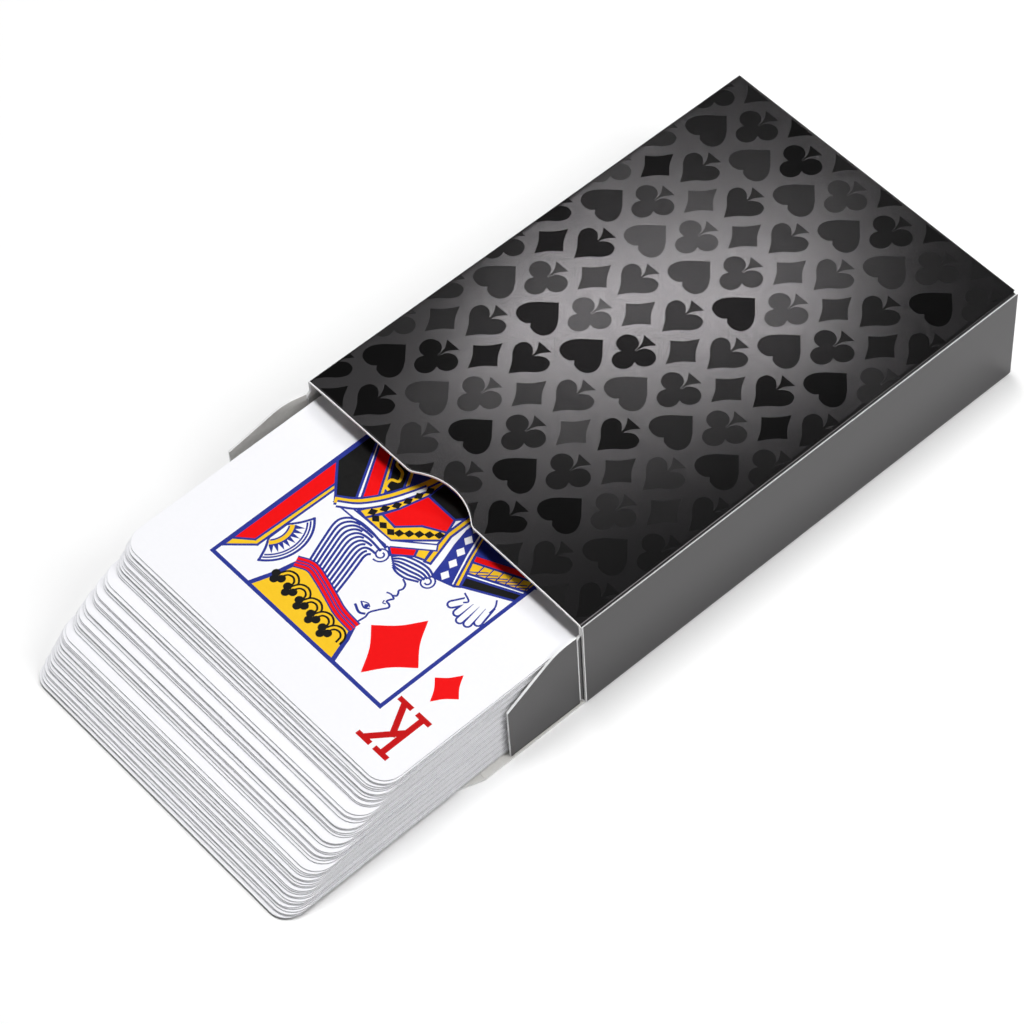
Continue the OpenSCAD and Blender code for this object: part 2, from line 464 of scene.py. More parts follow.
varnish_levels = [0.03, 0.08, 0.13, 0.2]
varnish_roughness = 0.18
varnishes = []
for k, level in enumerate(varnish_levels):
    deep_grey = 0.0015 + 0.022 * level
    pale_grey = 0.003 + 0.035 * level
    varnish = grained(
        "spot_varnish_" + str(k + 1), [deep_grey] * 3, [pale_grey] * 3,
        varnish_roughness, film_grain, film_relief, level,
    )
    varnish.node_tree.nodes["Principled BSDF"].inputs["Specular Tint"].default_value = film_tint
    varnishes.append(varnish)
panel_margin = crease_r
panel_columns = 120
panel_left = left_x + panel_margin
panel_w = lap_x - left_x - 2 * panel_margin
panel_xs = [panel_left + panel_w * k / panel_columns for k in range(panel_columns + 1)]
panel = [Vector((x, mouth_y + notch_bite(x - channel_x) + panel_margin)) for x in panel_xs]
panel += [Vector((panel_xs[-1], end_y - panel_margin)), Vector((panel_xs[0], end_y - panel_margin))]
signs = []
sign_tones = []
for i in range(-sign_reach, sign_reach + 1):
    for j in range(-sign_reach, sign_reach + 1):
        centre = sign_start + sign_step * i + sign_drop * j
        suit = sign_order[(i + 2 * j) % 4]
        clear = sign_sizes[suit]
        if left_x - clear < centre.x < lap_x + clear and mouth_y - clear < centre.y < end_y + clear:
            sign = set_sign(suit, centre + Vector((0, sign_lifts[suit])), sign_sizes[suit], -1)
            signs += sign
            sign_tones += [(3 * i + 5 * j + i * j * j % 7) % len(varnishes)] * len(sign)
spots, triangles, _, owners = cut_flat([panel] + signs)
printed = [k for k, owner in enumerate(owners) if 0 in owner and len(owner) > 1]
tones = [sign_tones[max(owners[k]) - 1] for k in printed]
triangles = [triangles[k] for k in printed]
used = sorted({corner for corners in triangles for corner in corners})
renumbered = {old: new for new, old in enumerate(used)}
spots = [spots[k] for k in used]
triangles = [[renumbered[corner] for corner in corners] for corners in triangles]
edge_uses = {}
for corners, tone in zip(triangles, tones):
    for here, there in zip(corners, corners[1:] + corners[:1]):
        edge_uses.setdefault(frozenset((here, there)), []).append((here, there, tone))
film_points = [
    (p.x, p.y, box_h + front_rise(p.x, p.y) + lift) for lift in (film_t, -film_sunk) for p in spots
]
film_faces = list(triangles)
film_faces += [[corner + len(spots) for corner in reversed(corners)] for corners in triangles]
film_tones = tones + tones
for uses in edge_uses.values():
    if len(uses) == 1:
        here, there, tone = uses[0]
        film_faces.append([there, here, here + len(spots), there + len(spots)])
        film_tones.append(tone)
signs_film = make_piece("front_panel_signs", film_points, film_faces, film_tones, varnishes)
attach(signs_film, "box")

# A playing card is two white plies glued round a grey core, printed in a few inks, coated and punched out
# with round corners. Number cards carry their suit's signs in columns, and an index in two corners.
card_w = 63
card_l = 88
card_t = 0.3
card_corner_r = 3.5
card_edge_r = 0.05
card_ply = 0.1
back_margin = 4
index_a = -24.7
index_b = 35.9
index_sign_b = 25.3
index_sign_size = 6.9
index_scale = 0.955
index_stroke = 1.15
index_foot = (2.2, 0.95)
sign_height = 11.5
column_a = 11
row_b = 27
numbers = ["ace", "two", "three", "four", "five", "six", "seven", "eight", "nine", "ten"]
suit_inks = {"spades": "black", "hearts": "red", "clubs": "black", "diamonds": "red"}
letter_inks = {"black": "black", "red": "deep red"}


def coated(name, dark, light):
    """The coated finish of the white card or of an ink on it."""
    return grained(name, dark, light, roughness=0.4, grain=0.6, relief=0.002, specular=0.08)


card_finishes = {
    "white": coated("coated_card_white", (0.89, 0.89, 0.92), (0.92, 0.92, 0.95)),
    "red": coated("card_ink_red", (0.82, 0.001, 0.002), (0.88, 0.002, 0.003)),
    "black": coated("card_ink_black", (0.005, 0.005, 0.005), (0.01, 0.01, 0.01)),
    "deep red": coated("card_ink_deep_red", (0.5, 0.002, 0.003), (0.56, 0.003, 0.004)),
    "blue": coated("card_ink_blue", (0.018, 0.03, 0.25), (0.028, 0.045, 0.32)),
    "yellow": coated("card_ink_yellow", (0.87, 0.52, 0.014), (0.93, 0.58, 0.022)),
    "core": grained(
        "card_core_grey", (0.42, 0.42, 0.43), (0.5, 0.5, 0.51),
        roughness=0.9, grain=6, relief=0.002, specular=0.2,
    ),
    "back": grained(
        "card_back_black", (0.006, 0.006, 0.007), (0.014, 0.013, 0.014),
        roughness=0.4, grain=0.25, relief=0.004,
    ),
}
ink_order = list(card_finishes)
index_strokes = {
    "ace": [[(-2.5, -4.4), (0, 4.7), (2.5, -4.4)], [(-1.6, -1.6), (1.6, -1.6)]],
    "four": [[(1.1, -4.8), (1.1, 4.3), (-2.5, -1.9), (2.7, -1.9)]],
    "five": [[(2.1, 4.3), (-1.6, 4.3), (-1.9, 0.6)]],
    "seven": [[(-2.4, 4.3), (2.3, 4.3), (-0.7, -4.8)]],
    "ten": [[(-2.5, 4.4), (-2.5, -4.4)]],
    "jack": [[(1.1, 4.4), (1.1, -2.2)]],
    "queen": [[(0.3, -2.3), (2.6, -4.9)]],
    "king": [[(-1.9, -4.2), (-1.9, 4.2)], [(2.2, 4.2), (-1.7, -0.7)], [(-0.5, 0.8), (2.4, -4.2)]],
    "two": [[(-2.4, -4.3), (2.6, -4.3)]],
}
index_curves = {
    "two": [[(-2.1, 2.8), (-0.9, 4.4), (1.3, 4.2), (2.1, 2.4), (0.9, 0), (-2, -4)]],
    "three": [
        [(-2.1, 3.5), (-0.4, 4.4), (1.7, 3.6), (1.6, 1.6), (-0.4, 0.5)],
        [(-0.4, 0.5), (1.9, -0.4), (2.2, -2.8), (0.6, -4.4), (-2.3, -3.7)],
    ],
    "five": [[(-1.9, 0.6), (0.2, 1.3), (2.1, -0.2), (2.2, -2.6), (0.6, -4.4), (-2.2, -3.8)]],
    "six": [[(1.9, 4.2), (-0.8, 3.6), (-2.1, 1), (-2.1, -1.9)]],
    "nine": [[(-1.9, -4.2), (0.8, -3.6), (2.1, -1), (2.1, 1.9)]],
    "jack": [[(1.1, -2.2), (0.7, -4), (-0.8, -4.6), (-2.2, -3.9), (-2.4, -2.6)]],
}
index_rings = {
    "six": [(0, -1.9, 2.1, 2.4)],
    "eight": [(0, 2.3, 1.8, 2), (0, -2.1, 2.1, 2.2)],
    "nine": [(0, 1.9, 2.1, 2.4)],
    "ten": [(1.3, 0, 1.6, 4)],
    "queen": [(0, 0, 2.5, 4.1)],
}
index_feet = {
    "ace": [(-2.5, -4.6), (2.5, -4.6)],
    "king": [(-1.9, 4.5), (-1.9, -4.5), (2.2, 4.5), (2.4, -4.5)],
    "jack": [(1.1, 4.6)],
    "ten": [(-2.5, -4.6)],
}
side_rows = {"four": 2, "five": 2, "six": 3, "seven": 3, "eight": 3, "nine": 4, "ten": 4}
middle_rows = {
    "ace": [0], "two": [1, -1], "three": [1, 0, -1], "five": [0], "seven": [0.5], "eight": [0.5, -0.5],
    "nine": [0], "ten": [2 / 3, -2 / 3],
}


def ribbon(points, width):
    """Outline of a line of one width along a curve."""
    sides = ([], [])
    for k, point in enumerate(points):
        along = (points[min(k + 1, len(points) - 1)] - points[max(k - 1, 0)]).normalized()
        across = Vector((-along.y, along.x)) * width / 2
        sides[0].append(point + across)
        sides[1].append(point - across)
    return sides[0] + sides[1][::-1]


def fill(art, ink, outline):
    """Prints an area."""
    art.append((ink, [Vector(point) for point in outline]))


def stroke(art, ink, points, width=0.3):
    """Prints a curved line."""
    art.append((ink, ribbon([Vector(point) for point in points], width)))


def rule(art, ink, points, width=0.3):
    """Prints straight lines with square corners."""
    for start, end in zip(points, points[1:]):
        along = (Vector(end) - Vector(start)).normalized() * width / 2
        stroke(art, ink, [Vector(start) - along, Vector(end) + along], width)


def ring(art, ink, centre, wide, high, width):
    """Prints an oval ring."""
    for start in (0, 180):
        bow = arc((0, 0), 1, start, start + 180, 16)
        stroke(art, ink, [(centre[0] + wide * p.x, centre[1] + high * p.y) for p in bow], width)


def turned(art):
    """The same print, upside down."""
    return [(ink, [-point for point in outline]) for ink, outline in art]


def corner_index(rank, suit):
    """The rank and a small sign for the top left corner."""
    ink = letter_inks[suit_inks[suit]]
    art = []
    for points in index_strokes.get(rank, []):
        rule(art, ink, points, index_stroke)
    for points in index_curves.get(rank, []):
        stroke(art, ink, flowing(points), index_stroke)
    for a, b, wide, high in index_rings.get(rank, []):
        ring(art, ink, (a, b), wide, high, index_stroke)
    for a, b in index_feet.get(rank, []):
        rule(art, ink, [(a - index_foot[0] / 2, b), (a + index_foot[0] / 2, b)], index_foot[1])
    corner = Vector((index_a, index_b))
    art = [(ink, [corner + point * index_scale for point in outline]) for ink, outline in art]
    for outline in set_sign(suit, (index_a, index_sign_b), index_sign_size):
        fill(art, suit_inks[suit], outline)
    return art


def number_card(rank, suit):
    """The signs of a number card or an ace."""
    art = []
    rows = side_rows.get(rank, 0)
    places = [(a, 1 - 2 * k / (rows - 1)) for a in (-column_a, column_a) for k in range(rows)]
    places += [(0, b) for b in middle_rows.get(rank, [])]
    size = 2 * sign_height if rank == "ace" else sign_height
    for a, b in places:
        for outline in set_sign(suit, (a, b * row_b), size, -1 if b < 0 else 1):
            fill(art, suit_inks[suit], outline)
    return art


def card_outline(inset):
    """A card's outline, drawn in from the cut by an inset."""
    radius = card_corner_r - inset
    a = card_w / 2 - card_corner_r
    b = card_l / 2 - card_corner_r
    centres = [(a, b), (-a, b), (-a, -b), (a, -b)]
    return [p for k, c in enumerate(centres) for p in arc(c, radius, 90 * k, 90 * k + 90, 8)]


def make_card(node, art):
    """A printed card in the place of its solid."""
    low, high = place_of(node)
    middle = (low + high) / 2
    wide = card_w - 2 * card_corner_r
    long = card_l - 2 * card_corner_r
    spread_x = high.x - low.x - 2 * card_corner_r
    spread_y = high.y - low.y - 2 * card_corner_r
    turn_cos = (wide * spread_x - long * spread_y) / (wide ** 2 - long ** 2)
    turn_sin = (wide * spread_y - long * spread_x) / (wide ** 2 - long ** 2)

    def on_card(p, z):
        x = middle.x - p.x * turn_cos + p.y * turn_sin
        y = middle.y - p.x * turn_sin - p.y * turn_cos
        return (x, y, low.z + z)

    points = []
    faces = []
    finishes = []
    rims = []
    back = [("back", card_outline(back_margin))]
    for z, printed in ((card_t, art), (0, back)):
        outline = card_outline(card_edge_r)
        spots, triangles, sources, owners = cut_flat([outline] + [shape for ink, shape in printed])
        place = {source: k for k, found in enumerate(sources) for source in found}
        rims.append([len(points) + place[k] for k in range(len(outline))])
        for corners, owner in zip(triangles, owners):
            faces.append([len(points) + corner for corner in corners])
            ink = printed[max(owner) - 1][0] if max(owner) else "white"
            finishes.append(ink_order.index(ink))
        points += [on_card(spot, z) for spot in spots]
    bands = [rims[0]]
    for z in (card_t - card_edge_r, card_t - card_ply, card_ply, card_edge_r):
        bands.append(list(range(len(points), len(points) + len(rims[0]))))
        points += [on_card(spot, z) for spot in card_outline(0)]
    bands.append(rims[1])
    for ply, (upper, lower) in enumerate(zip(bands, bands[1:])):
        for k in range(len(upper)):
            faces.append([upper[k - 1], upper[k], lower[k], lower[k - 1]])
            finishes.append(ink_order.index("core" if ply == 2 else "white"))
    card = make_piece("printed_" + node, points, faces, finishes, list(card_finishes.values()))
    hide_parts(node)
    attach(card, node)


for suit in suit_inks:
    for rank in numbers:
        index = corner_index(rank, suit)
        make_card(rank + "_of_" + suit, number_card(rank, suit) + index + turned(index))

# A court card is made like the others, and printed with a double-ended figure in a blue frame. The figure
# has a robe with a jewelled collar, a head in profile with combed hair, and a hand. Kings are bearded and
# crowned, and each court holds a weapon, a flower or a staff.
frame_a = 20.1
frame_b = 34.75
frame_line = 0.7
court_sign = (-13.4, 26)
court_sign_size = 13.8
outline_w = 0.42
hair_stops = [0, 9, 4, 9]
courts = ["jack", "queen", "king"]


def blend_lines(first, last, count):
    """Lines that pass evenly from one given line to another."""
    shares = [k / (count - 1) for k in range(count)]
    return [[Vector(p).lerp(Vector(q), share) for p, q in zip(first, last)] for share in shares]


def curl(art, centre, radius, start, turn):
    """A lock of hair that rolls in on itself."""
    steps = 30
    lock = []
    for k in range(steps + 1):
        share = k / steps
        angle = math.radians(start + turn * share)
        reach = radius * (1 - 0.75 * share)
        lock.append((centre[0] + reach * math.cos(angle), centre[1] + reach * math.sin(angle)))
    stroke(art, "blue", lock)


def panels(art, areas):
    """Areas of cloth, each with a blue outline."""
    for ink, outline in areas:
        fill(art, ink, outline)
    for ink, outline in areas:
        rule(art, "blue", outline + outline[:1], outline_w)


def jewels(art, ink, start, end, count, size):
    """A row of small lozenges."""
    for k in range(count):
        spot = Vector(start).lerp(Vector(end), k / (count - 1))
        along = (Vector(end) - Vector(start)).normalized() * size / 2
        across = Vector((-along.y, along.x)) * 0.8
        fill(art, ink, [spot + along, spot + across, spot - along, spot - across])


def robe(art, cloth, sash):
    """Sleeves, collar and breast of a court's robe, down to the card's middle."""
    panels(art, [
        ("black", [(19.8, 9.2), (14.2, 14.5), (11.9, 12.1), (19.6, 0), (19.8, 0)]),
        ("white", [(11.9, 12.1), (11.4, 11.4), (19, 0), (19.6, 0)]),
        (cloth, [(11.4, 11.4), (9.8, 9.2), (16.2, 0), (19, 0)]),
        ("yellow", [(9.8, 9.2), (9.3, 8.4), (15.5, 0), (16.2, 0)]),
        ("black", [(9.3, 8.4), (7.8, 5.9), (11.6, 0), (15.5, 0)]),
        ("yellow", [(7.8, 5.9), (7.3, 4.9), (10.6, 0), (11.6, 0)]),
        (sash, [(7.3, 4.9), (6.4, 2.4), (5.9, 0), (10.6, 0)]),
        ("yellow", [
            (10, 13.2), (8.2, 13.4), (5.7, 8.3), (4.4, 3.4), (4.4, 0), (5.9, 0), (6.4, 3.9), (7.8, 8.8),
        ]),
        ("yellow", [(8.2, 13.4), (2.1, 13.4), (-3.4, 7.7), (-3, 6), (0.7, 8), (3.6, 11.2), (6.8, 11)]),
        (cloth, [(6.8, 11), (5.7, 8.3), (4.4, 3.4), (-2, 3.5), (-3, 6), (0.7, 8), (3.6, 11.2)]),
        ("black", [(4.4, 3.4), (4.4, 0), (-3, 0), (-3, 2.2), (-2, 3.5)]),
        (cloth, [(1.7, 14.2), (-1.9, 10.9), (-2.8, 12.7), (0, 15.2)]),
        ("yellow", [(-3, 0), (-3, 6), (-3.4, 7.7), (-4.6, 12.2), (-5.6, 11.8), (-4, 6.1), (-4, 0)]),
        ("yellow", [(-1.9, 10.9), (-3.6, 9.4), (-4.5, 12), (-2.8, 12.7)]),
        (sash, [
            (-4.9, 0), (-4.9, 3.5), (-5.6, 6.6), (-6.6, 9.6),
            (-7.6, 13.2), (-10.7, 12.2), (-8.1, 6.6), (-5.6, 0),
        ]),
        ("white", [(-5.6, 0), (-8.1, 6.6), (-10.7, 12.2), (-11.3, 12), (-8.9, 6.6), (-6.3, 0)]),
        ("yellow", [(-6.3, 0), (-8.9, 6.6), (-11.3, 12), (-12, 11.4), (-9.7, 6.6), (-7, 0)]),
        (sash, [(-7, 0), (-9.3, 5.6), (-20, 0.6), (-20, 0)]),
        (cloth, [(-9.3, 5.6), (-9.9, 6.9), (-20, 2.2), (-20, 0.6)]),
        ("yellow", [(-9.9, 6.9), (-10.9, 8.9), (-20, 4.6), (-20, 2.2)]),
        ("white", [(-10.9, 8.9), (-11.2, 9.5), (-20, 5.3), (-20, 4.6)]),
        ("black", [(-11.2, 9.5), (-12, 11.3), (-20, 7), (-20, 5.3)]),
    ])
    neckline = [(13.4, 14.3), (8, 14.1), (1.8, 13.9), (-3.6, 9.4)]
    rule(art, "blue", neckline, 1.5)
    rule(art, "white", neckline, 0.9)
    shoulder = [(14.2, 14.6), (11.6, 12.6), (9.6, 9.9), (8.3, 7.4), (7.2, 4.6), (6.4, 2.2), (5.9, 0)]
    collar = [(a - 0.8, b + 0.27) for a, b in shoulder[:-1]]
    for ink, points, width in (("yellow", shoulder, 1.1), ("white", collar, 0.65)):
        stroke(art, "blue", flowing(points), width + 2 * outline_w)
        stroke(art, ink, flowing(points), width)
    jewels(art, "black", (8.2, 11.8), (6.5, 8.2), 3, 1.8)
    jewels(art, "black", (5.9, 6.4), (5, 2.6), 3, 1.8)
    jewels(art, "black", (6.9, 12.3), (3.3, 12.3), 3, 1.8)
    jewels(art, "black", (2.2, 11.5), (-2.5, 7.2), 5, 1.8)
    jewels(art, "white", (-5.6, 2.2), (-8.8, 11.6), 5, 2)
    scroll = [(9.6, 7.2), (10.6, 7), (10.9, 5.6), (9.8, 4.9), (10.7, 3.4), (12.6, 2.9), (12.4, 1.2)]
    stroke(art, "yellow", flowing(scroll), 0.5)
    for k in range(6):
        crossing = Vector((-11.2 - 1.5 * k, 7.4 - 0.68 * k))
        rule(art, "blue", [crossing + Vector((-0.9, 0.8)), crossing + Vector((-0.6, -1.4))], 0.22)
        rule(art, "blue", [crossing + Vector((0.5, 1.3)), crossing + Vector((-1.9, -0.9))], 0.22)


def hand(art):
    """An open hand, fingers up, below the suit's sign."""
    fingers = [
        ((-13.6, 14.5), (-14.9, 12.2)), ((-15.4, 14.9), (-15.4, 11.8)), ((-16.7, 15.5), (-16.4, 11.3)),
        ((-18, 15.1), (-17.3, 10.8)), ((-19, 13.8), (-18.2, 10.3)),
    ]
    for width, ink in ((1.65, "blue"), (0.95, "white")):
        for tip, root in fingers:
            stroke(art, ink, [Vector(tip), Vector(root)], width)
            fill(art, ink, disc(tip, width / 2, 12))
    fill(art, "white", [(-14.4, 12.6), (-18.5, 11), (-17.7, 9.2), (-13.6, 11.4)])
    stroke(art, "blue", flowing([(-14.6, 13), (-15, 12.2), (-13.4, 11.6)]))
    stroke(art, "blue", flowing([(-18.9, 11.4), (-18.7, 10), (-17.9, 8.9)]))


def face(art):
    """A calm, plain face in profile, with its features on even thirds between brow, nose and chin."""
    stroke(art, "blue", flowing([
        (-5.9, 27.2), (-6.1, 25.7), (-5.9, 24.7), (-6.6, 23.2), (-7.3, 22), (-6.9, 21.5), (-6.2, 21.4),
        (-6.4, 20.7), (-6.6, 20.3), (-6.1, 20), (-6.5, 19.6), (-6.3, 19.1), (-6, 18.7), (-6.2, 18),
        (-5.8, 17.2), (-4.8, 16.8),
    ]), 0.34)
    stroke(art, "blue", flowing([(-5.4, 24.2), (-4.6, 24.7), (-3.4, 24.2)]))
    stroke(art, "blue", flowing([(-5.2, 24), (-4.5, 23.7), (-3.6, 24.1)]), 0.22)
    fill(art, "blue", disc((-4.65, 24.2), 0.36, 12))
    stroke(art, "blue", flowing([(-5.7, 25.3), (-4.7, 25.8), (-3.1, 25.2)]), 0.42)
    stroke(art, "blue", flowing([(-6.5, 21.8), (-6, 22), (-5.8, 21.5)]), 0.22)
    stroke(art, "blue", flowing([(-6.2, 20.05), (-5.5, 20.05), (-4.9, 20.3)]))


def combed_hair(art):
    """Hair combed back from the brow band and rolled under at the neck."""
    nape = [(8.1, 24.8), (9.7, 20.7), (10.8, 17.3), (10.2, 15.5), (8.6, 14.6), (5.7, 14.4), (1.4, 14.9)]
    temple = [(0.2, 26.9), (1.2, 23.2), (2.2, 19.9), (2.6, 18.6), (2.6, 17.8), (2.3, 17.4), (1.9, 17.2)]
    for k, line in enumerate(blend_lines(nape, temple, 11)):
        lock = flowing(line)
        stroke(art, "blue", lock[:len(lock) - hair_stops[k % 4]], 0.42)
    curl(art, (1.1, 16.2), 1.5, 80, 560)


def beard(art):
    """A short beard combed forward and rolled up."""
    jaw = [(-0.3, 15.4), (-1.4, 13.9), (-3.9, 12.9), (-6.1, 12.6), (-7.8, 13.1)]
    cheek = [(-1.9, 16.4), (-3.2, 16.7), (-4.8, 16.5), (-6, 15.9), (-6.9, 15.4)]
    for line in blend_lines(jaw, cheek, 6):
        stroke(art, "blue", flowing(line), 0.4)
    curl(art, (-7.8, 14.5), 1.4, -90, -560)


def brow_band(art, cloth):
    """A twisted band round the brow, which the crown or cap stands on."""
    band = flowing([(9.4, 26.7), (6.9, 25.6), (3.9, 26.1), (0.6, 27), (-2.7, 27.9), (-6.5, 28.2)])
    for ink, width in (("blue", 2.3), (cloth, 1.75), ("blue", 0.75), (cloth, 0.3)):
        stroke(art, ink, band, width)


def crown(art):
    """A gold crown with black trefoils on arched stems."""
    left_edge = [(11.4, 34.6), (9.9, 30.4), (9, 26.6)]
    foot = [(6.5, 25.8), (3.8, 26.4), (0.5, 27.4), (-2.7, 28.3)]
    right_edge = [(-6.4, 28.6), (-7.3, 30.5), (-8.7, 34.6)]
    fill(art, "yellow", left_edge + foot + right_edge)
    rule(art, "blue", left_edge, 0.8)
    rule(art, "blue", right_edge, 0.8)
    cusps = [Vector((9.1, 30.2)).lerp(Vector((-6.9, 32)), k / 5) for k in range(6)]
    for start, end in zip(cusps, cusps[1:]):
        dip = (end - start) / 2
        down = Vector((-dip.y, dip.x)).normalized()
        first = start + dip * 0.3 + down * 1.3
        last = end - dip * 0.3 + down * 1.3
        scallop = [start, first, start + dip + down * 1.8, last, end]
        for ink, width in (("black", 1.1), ("yellow", 0.4)):
            stroke(art, ink, flowing(scallop), width)
        for across, up in ((-0.45, 0.2), (0.45, 0.2), (0, 1.1)):
            fill(art, "black", disc(start + dip * across - down * up, 0.74, 14))


def coronet(art):
    """A low gold coronet with five points, each with a pearl."""
    points = [(9.4, 26.6)]
    for k in range(5):
        foot = Vector((9.4, 29)).lerp(Vector((-6.4, 30.4)), k / 4)
        points += [foot + Vector((1, 0)), foot + Vector((0, 2.2)), foot + Vector((-1, 0))]
    panels(art, [("yellow", [Vector(p) for p in points + [(-6.5, 28.4)]])])
    for k in range(5):
        fill(art, "blue", disc(Vector((9.4, 31.7)).lerp(Vector((-6.4, 33.1)), k / 4), 0.7, 14))


def cap(art, cloth):
    """A flat cap with a feather."""
    panels(art, [(cloth, flowing([(9.8, 26.6), (10.8, 30), (6, 32.4), (-2, 32.6), (-6.4, 28.6)]))])
    for line in blend_lines([(8.6, 29), (3, 33), (-3, 34)], [(8.6, 28.6), (4.5, 30.6), (-1, 31.2)], 6):
        stroke(art, "yellow", flowing(line), 0.4)


def axe(art):
    """A broad axe blade in front of a hanging cloak."""
    panels(art, [
        ("red", [(19.8, 9.2), (19.8, 31), (17, 28.6), (16.5, 12.4)]),
        ("yellow", [(19.8, 31), (19.8, 32.9), (16, 29), (15.7, 13.1), (16.5, 12.4), (17, 28.6)]),
    ])
    hub = (17.8, 25)
    blade = arc(hub, 7.1, 126, 234, 24)
    blade += flowing([(13.6, 19.3), (14.6, 21.4), (15.8, 23.2)])[1:]
    blade += flowing([(15.8, 26.8), (14.6, 28.6), (13.6, 30.7)])[:-1]
    panels(art, [("white", blade)])
    fill(art, "yellow", arc(hub, 4.2, 138, 222) + arc(hub, 3.2, 222, 138))
    for radius, spread in ((6.5, 50), (6, 48), (4.2, 42), (3.2, 38)):
        stroke(art, "blue", arc(hub, radius, 180 - spread, 180 + spread, 20))
    teeth = 8
    tooth = ((4.3, 0), (4.3, 10), (5.8, 5))
    for k in range(teeth):
        turn = 138 + 84 * k / teeth
        fill(art, "blue", [arc(hub, reach, turn + lead, 180, 1)[0] for reach, lead in tooth])


def sword(art):
    """An upright sword."""
    panels(art, [
        ("white", [(14.2, 15), (15.8, 15), (15.8, 31.4), (15, 33.4), (14.2, 31.4)]),
        ("yellow", [(12.4, 14), (17.6, 14), (17.6, 15.2), (12.4, 15.2)]),
    ])
    rule(art, "blue", [(15, 15.6), (15, 32)], 0.2)


def flower(art):
    """A flower on a stem."""
    stroke(art, "black", flowing([(13, 14), (14.6, 18), (14.4, 23)]), 0.5)
    for k in range(6):
        petal = arc((14.5, 26), 2.2, 60 * k, 60 * k, 1)[0]
        fill(art, "blue", disc(petal, 1.55))
        fill(art, "red", disc(petal, 1.25))
    fill(art, "yellow", disc((14.5, 26), 1.2))


def staff(art):
    """A tall staff with a leaf-shaped head."""
    leaf = flowing([(15, 27), (17.2, 29.4), (15, 33.6)])
    leaf += flowing([(15, 33.6), (12.8, 29.4), (15, 27)])[1:-1]
    panels(art, [
        ("yellow", [(14.4, 13.5), (15.6, 13.5), (15.6, 27), (14.4, 27)]),
        ("white", leaf),
    ])


def court_card(rank, suit):
    """A whole court card: the figure twice, end to end, in its frame."""
    cloth, sash = ("red", "blue") if suit_inks[suit] == "red" else ("blue", "red")
    half = []
    robe(half, cloth, sash)
    hand(half)
    if rank == "king":
        if suit == "diamonds":
            axe(half)
        else:
            sword(half)
        crown(half)
        beard(half)
    elif rank == "queen":
        flower(half)
        coronet(half)
    else:
        staff(half)
        cap(half, cloth)
    combed_hair(half)
    brow_band(half, "red")
    face(half)
    for outline in set_sign(suit, court_sign, court_sign_size):
        fill(half, suit_inks[suit], outline)
    index = corner_index(rank, suit)
    art = turned(half) + half
    corners = [(frame_a, frame_b), (-frame_a, frame_b), (-frame_a, -frame_b), (frame_a, -frame_b)]
    rule(art, "blue", corners + corners[:1], frame_line)
    return art + index + turned(index)


for suit in suit_inks:
    for rank in courts:
        make_card(rank + "_of_" + suit, court_card(rank, suit))

# The two jokers are made like the other cards and lie at the bottom of the stack. They carry a fool's cap
# with three bells, printed in black alone on one and in colours on the other, and a star for an index.
star_points = 5
star_size = 3.6
star_waist = 0.42
bell_r = 2.2
bell_rim = 0.3


def star(centre, size):
    """Outline of a five-pointed star."""
    step = 180 / star_points
    spikes = range(2 * star_points)
    return [arc(centre, size * (star_waist if k % 2 else 1), 90 + step * k, 90, 1)[0] for k in spikes]


def joker(inks):
    """A fool's cap with its bells, and a star in two corners."""
    art = []
    horns = [
        [(-9, -6), (-15, 4), (-21, 5), (-20, 12), (-12, 14), (-3, 6)],
        [(9, -6), (15, 4), (21, 5), (20, 12), (12, 14), (3, 6)],
        [(-6, -6), (-5, 8), (0, 22), (5, 8), (6, -6)],
    ]
    for ink, horn in zip(inks, horns):
        outline = flowing(horn)
        fill(art, ink, outline)
        stroke(art, "black", outline, 0.5)
    fill(art, inks[1], [(-10, -10), (10, -10), (9, -5), (-9, -5)])
    for bell in ((-21, 3.6), (21, 3.6), (0, 23)):
        fill(art, "black", disc(bell, bell_r + bell_rim))
        fill(art, inks[2], disc(bell, bell_r))
    mark = []
    fill(mark, inks[0], star((index_a, index_b), star_size))
    return art + mark + turned(mark)


make_card("black_joker", joker(["black", "white", "black"]))
make_card("red_joker", joker(["red", "blue", "yellow"]))

# The table is a pale sheet that rises far away into a low backdrop. It takes the deck's shadow, and to
# the eye and in gloss it stays white past the lamps' reach.
table_r = 2.6
backdrop_h = 0.7
table_albedo = 0.95
table_roughness = 0.9
near_glow = 0.05
far_glow = 1
lamp_reach = (0.15, 1.6)
table_sectors = 96
backdrop_bends = (0.3, 0.6, 0.9, 1.2, 1.57)
table_profile = [(table_r, 0)]
for bend in backdrop_bends:
    table_profile.append((table_r + backdrop_h * math.sin(bend), backdrop_h * (1 - math.cos(bend))))
table_mesh = bpy.data.meshes.new("table")
table_points = [
    (reach * math.cos(math.tau * k / table_sectors), reach * math.sin(math.tau * k / table_sectors), z)
    for reach, z in table_profile for k in range(table_sectors)
]
table_faces = [list(range(table_sectors))]
for step in range(len(backdrop_bends)):
    here = step * table_sectors
    there = here + table_sectors
    for k in range(table_sectors):
        after = (k + 1) % table_sectors
        table_faces.append([here + after, here + k, there + k, there + after])
table_mesh.from_pydata(table_points, [], table_faces)
table_mesh.shade_smooth()
table = bpy.data.objects.new("table", table_mesh)
bpy.context.scene.collection.objects.link(table)
table_finish = bpy.data.materials.new("white_table")
table_finish.use_nodes = True
table_nodes = table_finish.node_tree.nodes
table_links = table_finish.node_tree.links
table_skin = table_nodes["Principled BSDF"]
table_skin.inputs["Base Color"].default_value = (table_albedo, table_albedo, table_albedo, 1)
table_skin.inputs["Roughness"].default_value = table_roughness
table_skin.inputs["Specular IOR Level"].default_value = 0
